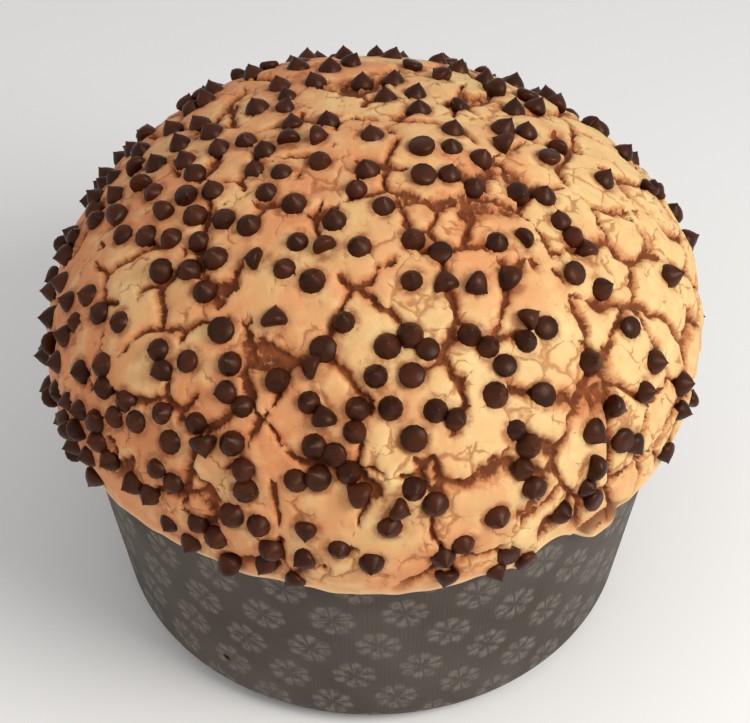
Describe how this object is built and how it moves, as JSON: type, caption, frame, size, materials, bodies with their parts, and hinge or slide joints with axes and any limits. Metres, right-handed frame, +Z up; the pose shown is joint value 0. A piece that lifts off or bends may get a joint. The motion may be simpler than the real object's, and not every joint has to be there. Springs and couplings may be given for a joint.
{
  "type": "panettone",
  "caption": "Domed chocolate-drop panettone with a cracked golden crust, standing in the round printed paper mould it was baked in.",
  "frame": {"origin": "centre of the mould's flat underside, where it stands on the table", "axes": "+Z up through the middle of the loaf, -Y the front seen by a viewer, +X to the viewer's right"},
  "size_m": [0.2051, 0.2056, 0.1682],
  "materials": {
    "crust": "matte",
    "mould_paper": "matte",
    "chocolate": "satin"
  },
  "bodies": {
    "root": {"loaf": "crust", "paper_wall": "mould_paper", "paper_base": "mould_paper", "chocolate_drop_01": "chocolate", "chocolate_drop_02": "chocolate", "chocolate_drop_03": "chocolate", "chocolate_drop_04": "chocolate", "chocolate_drop_05": "chocolate", "chocolate_drop_06": "chocolate", "chocolate_drop_07": "chocolate", "chocolate_drop_08": "chocolate", "chocolate_drop_09": "chocolate", "chocolate_drop_10": "chocolate", "chocolate_drop_11": "chocolate", "chocolate_drop_12": "chocolate", "chocolate_drop_13": "chocolate", "chocolate_drop_14": "chocolate", "chocolate_drop_15": "chocolate", "chocolate_drop_16": "chocolate", "chocolate_drop_17": "chocolate", "chocolate_drop_18": "chocolate", "chocolate_drop_19": "chocolate", "chocolate_drop_20": "chocolate", "chocolate_drop_21": "chocolate", "chocolate_drop_22": "chocolate", "chocolate_drop_23": "chocolate", "chocolate_drop_24": "chocolate", "chocolate_drop_25": "chocolate", "chocolate_drop_26": "chocolate", "chocolate_drop_27": "chocolate", "chocolate_drop_28": "chocolate", "chocolate_drop_29": "chocolate", "chocolate_drop_30": "chocolate", "chocolate_drop_31": "chocolate", "chocolate_drop_32": "chocolate", "chocolate_drop_33": "chocolate", "chocolate_drop_34": "chocolate", "chocolate_drop_35": "chocolate", "chocolate_drop_36": "chocolate", "chocolate_drop_37": "chocolate", "chocolate_drop_38": "chocolate", "chocolate_drop_39": "chocolate", "chocolate_drop_40": "chocolate", "chocolate_drop_41": "chocolate", "chocolate_drop_42": "chocolate", "chocolate_drop_43": "chocolate", "chocolate_drop_44": "chocolate", "chocolate_drop_45": "chocolate", "chocolate_drop_46": "chocolate", "chocolate_drop_47": "chocolate", "chocolate_drop_48": "chocolate", "chocolate_drop_49": "chocolate", "chocolate_drop_50": "chocolate", "chocolate_drop_51": "chocolate", "chocolate_drop_52": "chocolate", "chocolate_drop_53": "chocolate", "chocolate_drop_54": "chocolate", "chocolate_drop_55": "chocolate", "chocolate_drop_56": "chocolate", "chocolate_drop_57": "chocolate"}
  },
  "joints": []
}
